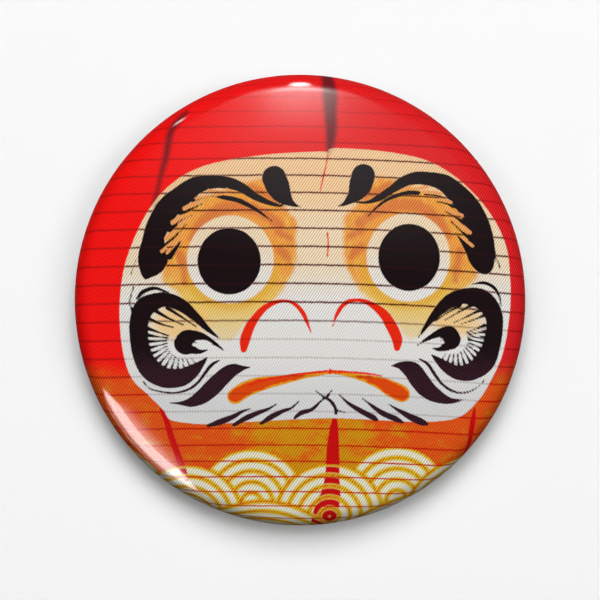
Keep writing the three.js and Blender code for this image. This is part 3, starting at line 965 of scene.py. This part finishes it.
# the pin: one length of spring wire, in millimetres; its point and cut end as lengths and shares of the
# wire's radius, the point's lengths being shares of pointLength
wire = {
    "radius": 0.4,
    "legY": -0.4,
    "legZ": 6.0,
    "legEnd": -19.55,
    "coilX": 17.85,
    "coilZ": 4.1,
    "coilRadius": 1.9,
    "turns": 1.5,
    "rise": 0.9,
    "needleTip": -19.25,
    "pointLength": 3.0,
    "point": ((0.25, 0.9), (0.5, 0.68), (0.75, 0.4), (0.93, 0.17), (1.0, 0.06)),
    "cutEnd": (0.12, 0.72),
    "blendAbove": 1.4,
    "blendBelow": 1.7,
    "stepsPerTurn": 48,
}


def makeWire(material):
    w = wire
    endLength, endThick = w["cutEnd"]
    run = [(w["legEnd"], w["legY"], w["legZ"], endThick),
           (w["legEnd"] + endLength, w["legY"], w["legZ"], 1.0)]
    for step in range(1, 8):
        run.append((w["legEnd"] + (w["coilX"] - w["legEnd"]) * step / 8, w["legY"], w["legZ"], 1.0))
    count = int(w["turns"] * w["stepsPerTurn"])
    for step in range(count + 1):
        angle = math.pi / 2 - 2 * math.pi * w["turns"] * step / count
        y = w["legY"] + w["rise"] * w["turns"] * step / count
        x = w["coilX"] + w["coilRadius"] * math.cos(angle)
        run.append((x, y, w["coilZ"] + w["coilRadius"] * math.sin(angle), 1.0))
    needleY = w["legY"] + w["rise"] * w["turns"]
    needleZ = w["coilZ"] - w["coilRadius"]
    pointStart = w["needleTip"] + w["pointLength"]
    for step in range(1, 8):
        run.append((w["coilX"] + (pointStart - w["coilX"]) * step / 7, needleY, needleZ, 1.0))
    for part, thick in w["point"]:
        run.append((pointStart - w["pointLength"] * part, needleY, needleZ, thick))
    line = bpy.data.curves.new("pinLine", "CURVE")
    line.dimensions = "3D"
    line.bevel_depth = w["radius"] * mm
    line.bevel_resolution = 6
    line.use_fill_caps = True
    spline = line.splines.new("POLY")
    spline.points.add(len(run) - 1)
    for point, (x, y, z, thick) in zip(spline.points, run):
        point.co = (x * mm, y * mm, z * mm, 1.0)
        point.radius = thick
    holder = bpy.data.objects.new("pinLine", line)
    scene.collection.objects.link(holder)
    mesh = bpy.data.meshes.new_from_object(holder.evaluated_get(bpy.context.evaluated_depsgraph_get()))
    bpy.data.objects.remove(holder)
    bm = bmesh.new()
    bm.from_mesh(mesh)
    bmesh.ops.remove_doubles(bm, verts=bm.verts, dist=1e-7)
    bmesh.ops.recalc_face_normals(bm, faces=bm.faces)
    piece = newPiece("pin_of_one_wire", bm, material, None)
    piece.data.set_sharp_from_angle(angle=math.radians(50))
    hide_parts("pin_spring", "pin_needle")
    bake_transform(piece)
    return piece


# the folded catch, in millimetres
catch = {
    "left": -20.15,
    "right": -11.65,
    "bottom": 0.9,
    "top": 7.3,
    "front": -1.2,
    "rear": 1.75,
    "corner": 1.6,
    "taper": 0.5,
    "fold": 0.5,
    "wall": 0.3,
    "wear": 0.06,
}


def makeCatch(material):
    c = catch
    middle = (c["left"] + c["right"]) / 2
    outline = [(c["right"], c["top"] - c["taper"]), (middle, c["top"]), (c["left"], c["top"]),
               (c["left"], c["bottom"]), (middle, c["bottom"]), (c["right"], c["bottom"] + c["taper"])]
    outline = soften(outline, c["corner"], 8)
    bm = bmesh.new()
    face = bm.faces.new([bm.verts.new((x, c["front"], z)) for x, z in outline])
    lifted = bmesh.ops.extrude_face_region(bm, geom=[face])["geom"]
    cover = [item for item in lifted if isinstance(item, bmesh.types.BMVert)]
    bmesh.ops.translate(bm, vec=(0, c["rear"] - c["front"], 0), verts=cover)
    if not any(f.calc_center_median().y < c["front"] + 0.01 for f in bm.faces):
        bmesh.ops.contextual_create(bm, geom=[v for v in bm.verts if v.co.y < c["front"] + 0.01])
    sides = [f for f in bm.faces if abs(f.normal.y) < 0.5]
    openSides = []
    for side in sides:
        centre = side.calc_center_median()
        if centre.x > c["right"] - 0.01 or centre.z < c["bottom"] + c["corner"] + 0.3:
            openSides.append(side)
    bmesh.ops.delete(bm, geom=openSides, context="FACES")
    bmesh.ops.recalc_face_normals(bm, faces=bm.faces)
    folds = [edge for edge in bm.edges if len(edge.link_faces) == 2
             and abs(abs(edge.link_faces[0].normal.y) - abs(edge.link_faces[1].normal.y)) > 0.5]
    bmesh.ops.bevel(bm, geom=folds, offset=c["fold"], offset_type="OFFSET", segments=5, profile=0.5,
                    affect="EDGES", material=-1, clamp_overlap=True)
    toMetres(bm)
    piece = newPiece("pin_catch_folded", bm, material, "badge")
    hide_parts("pin_catch")
    thicken(piece, c["wall"], c["wear"], 35)
    return piece


tinLook = metalLook("tinplate", metals["tin"])
metalPieces = bpy.data.collections.new("metal pieces")
metalPieces.objects.link(makePlate(tinLook))
metalPieces.objects.link(makeWire(metalLook("nickelWire", metals["wire"])))
metalPieces.objects.link(makeCatch(metalLook("nickelCatch", metals["catch"])))
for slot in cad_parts["front_shell"].material_slots:
    slot.material = tinLook
print("stage: back plate, pin and catch")


# the camera stands straight in front; its distance and the width that it takes in, in metres
view = {"distance": 0.6, "width": 0.0774}
cameraData = bpy.data.cameras.new("camera")
cameraData.type = "PERSP"
cameraData.sensor_width = 36.0
cameraData.lens = 36.0 * view["distance"] / view["width"]
cameraObject = bpy.data.objects.new("camera", cameraData)
cameraObject.location = (0.0, -view["distance"], 0.0)
cameraObject.rotation_euler = (math.radians(90), 0.0, 0.0)
scene.collection.objects.link(cameraObject)
scene.camera = cameraObject

# the pale ground that the badge's back lies against
stage = {
    "groundSize": 1.5,
    "gap": 0.0001,
    "groundLow": (0.945, 0.945, 0.945, 1.0),
    "groundHigh": (0.955, 0.955, 0.955, 1.0),
    "roomFill": 0.04,
    "roomColour": (1.0, 1.0, 1.0, 1.0),
    "frontReflection": 0.03,
    "backReflection": 0.42,
    "seenRoom": 0.93,
}


def wallLook():
    look = Look("paleGround")
    tone = look.noise(look.object(), 6.0, 3.0, 0.5)
    colour = look.mix(tone.rise(0.3, 0.7), stage["groundLow"], stage["groundHigh"])
    plain = look.node("ShaderNodeBsdfDiffuse", None, {"Color": colour})
    clear = look.node("ShaderNodeBsdfTransparent")
    behind = look.node("ShaderNodeNewGeometry", output="Backfacing")
    both = look.node("ShaderNodeMixShader", None, {0: behind, 1: plain, 2: clear})
    look.node("ShaderNodeOutputMaterial", None, {"Surface": both})
    return look.material


def makeWall():
    bm = bmesh.new()
    bmesh.ops.create_grid(bm, x_segments=8, y_segments=8, size=stage["groundSize"])
    bmesh.ops.rotate(bm, cent=(0, 0, 0), matrix=Matrix.Rotation(math.radians(90), 3, "X"), verts=bm.verts)
    bmesh.ops.translate(bm, vec=(0.0, cadBox[1].y + stage["gap"], 0.0), verts=bm.verts)
    wall = newPiece("pale_ground", bm, wallLook(), None)
    # only the camera sees it, so that it neither shades nor colours the back
    wall.visible_shadow = False
    wall.visible_glossy = False
    wall.visible_diffuse = False


makeWall()

# lamps: tilt is the angle away from straight in front (180 is straight behind), turn is clockwise from the
# top seen from the front, blur is how far in from its edge a lamp fades; a glint lamp shows only in the film
lamps = {
    "keyLamp": {"tilt": 34, "turn": 2, "size": (0.60, 0.60), "power": 7.8,
                "shines": "fill"},
    "rightLamp": {"tilt": 36, "turn": 84, "size": (0.60, 0.60), "power": 3.0,
                  "shines": "fill"},
    "leftLamp": {"tilt": 36, "turn": 276, "size": (0.60, 0.60), "power": 1.9,
                 "shines": "fill"},
    "topGlint": {"tilt": 63, "turn": 0, "size": (0.11, 0.76), "power": 14.0,
                 "shines": "glint", "blur": 0.5},
    "topBloom": {"tilt": 34, "turn": 0, "size": (0.22, 0.52), "power": 3.2,
                 "shines": "glint", "blur": 0.42},
    "topGlow": {"tilt": 38, "turn": 0, "size": (0.48, 0.84), "power": 6.8,
                "shines": "glint", "blur": 0.5},
    "topHaze": {"tilt": 16, "turn": 6, "size": (1.00, 0.44), "power": 0.75,
                "shines": "glint", "blur": 0.5},
    "lowStreak": {"tilt": 62, "turn": 227, "size": (0.62, 1.62), "power": 44.0,
                  "shines": "glint", "blur": 0.05, "taper": 0.4},
    "cornerGlint": {"tilt": 60, "turn": 326, "size": (0.08, 0.36), "power": 1.5,
                    "shines": "glint", "blur": 0.5},
    "rearFill": {"tilt": 160, "turn": 0, "size": (0.80, 0.80), "power": 6.4,
                 "shines": "fill"},
    "rearGlintLeft": {"tilt": 128, "turn": 290, "size": (0.68, 1.00), "power": 4.8,
                      "shines": "metal"},
    "rearGlintRight": {"tilt": 140, "turn": 75, "size": (0.52, 1.10), "power": 5.6,
                       "shines": "metal"},
}
lampDistance = 1.0


def addLamp(name, tilt, turn, size, power, shines, blur=0.0, taper=1.0):
    data = bpy.data.lights.new(name, "AREA")
    data.shape = "RECTANGLE"
    data.size, data.size_y = size
    data.energy = power
    if blur:
        data.use_nodes = True
        look = Look(name, data.node_tree)
        across, up, _ = look.split(look.node("ShaderNodeNewGeometry", output="Parametric"))
        wide = (up * 2.0).min(1.0) * (1.0 - taper) + taper
        inside = wide * 0.5 - (across - 0.5).math("ABSOLUTE")
        fade = inside.rise(0.0, blur) * up.rise(0.0, blur) * up.rise(1.0, 1.0 - blur)
        emission = look.node("ShaderNodeEmission", None, {"Strength": fade})
        look.node("ShaderNodeOutputLight", None, {"Surface": emission})
    lamp = bpy.data.objects.new(name, data)
    away, about = math.radians(tilt), math.radians(turn)
    towards = Vector((math.sin(away) * math.sin(about), -math.cos(away), math.sin(away) * math.cos(about)))
    outward = Vector((math.cos(away) * math.sin(about), math.sin(away), math.cos(away) * math.cos(about)))
    lamp.location = towards * lampDistance
    lamp.rotation_euler = Matrix((outward.cross(towards), outward, towards)).transposed().to_euler()
    lamp.visible_diffuse = shines != "glint"
    lamp.visible_glossy = shines != "fill"
    if shines == "glint":
        data.cycles.max_bounces = 0
    if shines == "metal":
        lamp.light_linking.receiver_collection = metalPieces
    scene.collection.objects.link(lamp)


for name, lamp in lamps.items():
    addLamp(name, **lamp)


# the room: pale to the eye and as fill light, dark in front of the film and bright behind for the tinplate
def makeRoom():
    world = bpy.data.worlds.new("room")
    scene.world = world
    world.use_nodes = True
    look = Look("room", world.node_tree)
    direction = look.split(look.node("ShaderNodeTexCoord", output="Generated"))
    rear = direction[1].rise(0.1, 0.6) * direction[1].rise(1.0, 0.9)
    bright = stage["backReflection"] * (0.35 + direction[2].rise(-0.6, 0.8) * 0.65)
    reflected = stage["frontReflection"] + rear * bright
    glossy = look.node("ShaderNodeLightPath", output="Is Glossy Ray")
    seen = look.node("ShaderNodeLightPath", output="Is Camera Ray")
    fill = look.node("ShaderNodeMix", None, {0: glossy, 2: stage["roomFill"], 3: reflected})
    strength = look.node("ShaderNodeMix", None, {0: seen, 2: fill, 3: stage["seenRoom"]})
    values = {"Color": stage["roomColour"], "Strength": strength}
    background = look.node("ShaderNodeBackground", None, values)
    look.node("ShaderNodeOutputWorld", None, {"Surface": background})


makeRoom()
print("stage: ground, lamps and room")
